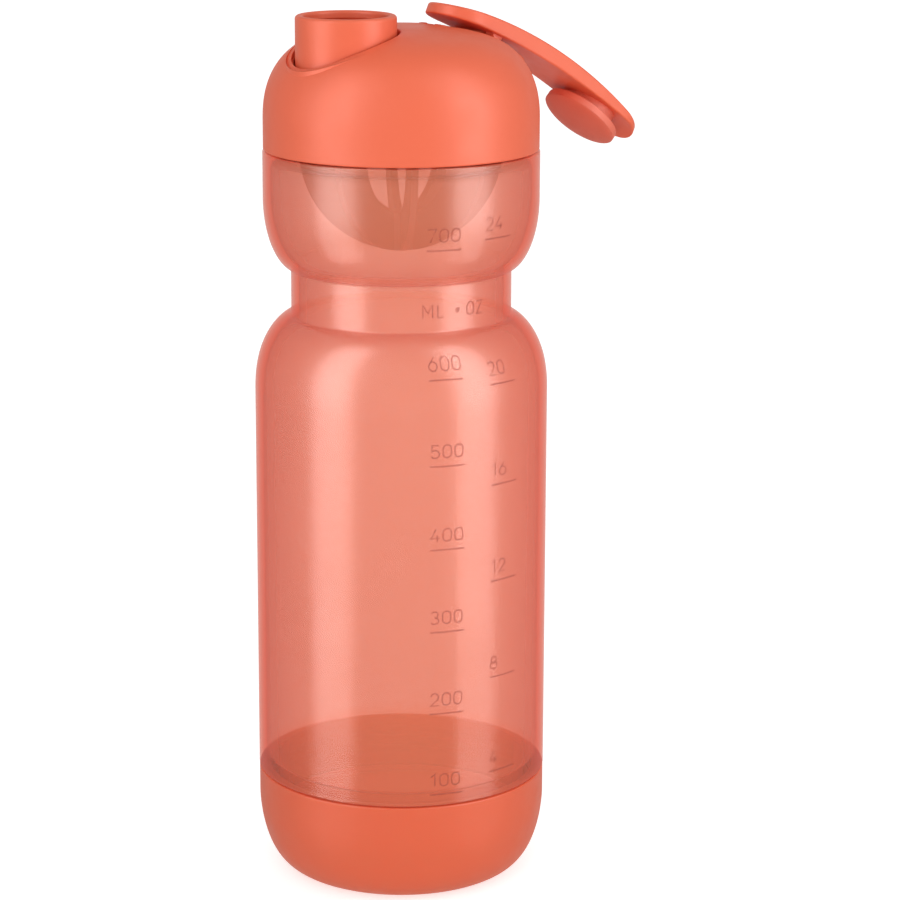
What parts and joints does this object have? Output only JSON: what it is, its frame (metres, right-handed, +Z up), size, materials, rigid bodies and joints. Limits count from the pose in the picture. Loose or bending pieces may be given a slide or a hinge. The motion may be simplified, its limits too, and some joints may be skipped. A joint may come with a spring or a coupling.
{
  "type": "drinking bottle",
  "caption": "Frosted drinking bottle with a narrow waist, screw-on base cup and domed lid, round spout, hanging mixer and a swivelling closure arm with a stopper.",
  "frame": {"origin": "centre of the flat underside of the base cup", "axes": "+Z up along the bottle's axis, -X towards the spout, +X towards the open closure arm"},
  "size_m": [0.1176, 0.079, 0.2386],
  "materials": {
    "coral_plastic": "smooth satin moulding",
    "frosted_body": "frosted, translucent",
    "coral_silicone": "soft, matt",
    "steel": "plain"
  },
  "bodies": {
    "base": {"base_cup": "coral_plastic"},
    "base_ring": {"base_seal": "coral_silicone"},
    "bottle": {"bottle_body": "frosted_body"},
    "lid_ring": {"lid_seal": "coral_silicone"},
    "lid": {"lid_core": "coral_plastic", "dome_cover": "coral_plastic", "mixer": "coral_plastic"},
    "turntable": {"pivot_hub": "coral_plastic", "hub_clip": "steel"},
    "arm": {"closure_arm": "coral_plastic", "hinge_pin": "steel", "stopper_core": "coral_plastic", "stopper_seal": "coral_silicone"}
  },
  "joints": [
    {"name": "base_lift", "type": "slide", "parent": "base", "child": "base_ring", "axis": [0, 0, 1], "range_m": [0, 0.0113]},
    {"name": "base_unscrew", "type": "hinge", "parent": "base_ring", "child": "bottle", "pos_m": [0, 0, 0.02], "axis": [0, 0, 1], "range_deg": [0, 450]},
    {"name": "lid_lift", "type": "slide", "parent": "bottle", "child": "lid_ring", "axis": [0, 0, 1], "range_m": [0, 0.0091]},
    {"name": "lid_unscrew", "type": "hinge", "parent": "lid_ring", "child": "lid", "pos_m": [0, 0, 0.205], "axis": [0, 0, 1], "range_deg": [0, 360]},
    {"name": "arm_swivel", "type": "hinge", "parent": "lid", "child": "turntable", "pos_m": [0.0257, 0, 0.22936], "axis": [0.4289, 0, 0.9033], "range_deg": [0, 180]},
    {"name": "arm_rock", "type": "hinge", "parent": "turntable", "child": "arm", "pos_m": [0.02596, 0, 0.2299], "axis": [0, 1, 0], "range_deg": [0, 8]}
  ],
  "couplings": [
    {"joint": "base_lift", "follows": "base_unscrew", "m_per_rad": 0.0014324},
    {"joint": "lid_lift", "follows": "lid_unscrew", "m_per_rad": 0.0014324}
  ]
}
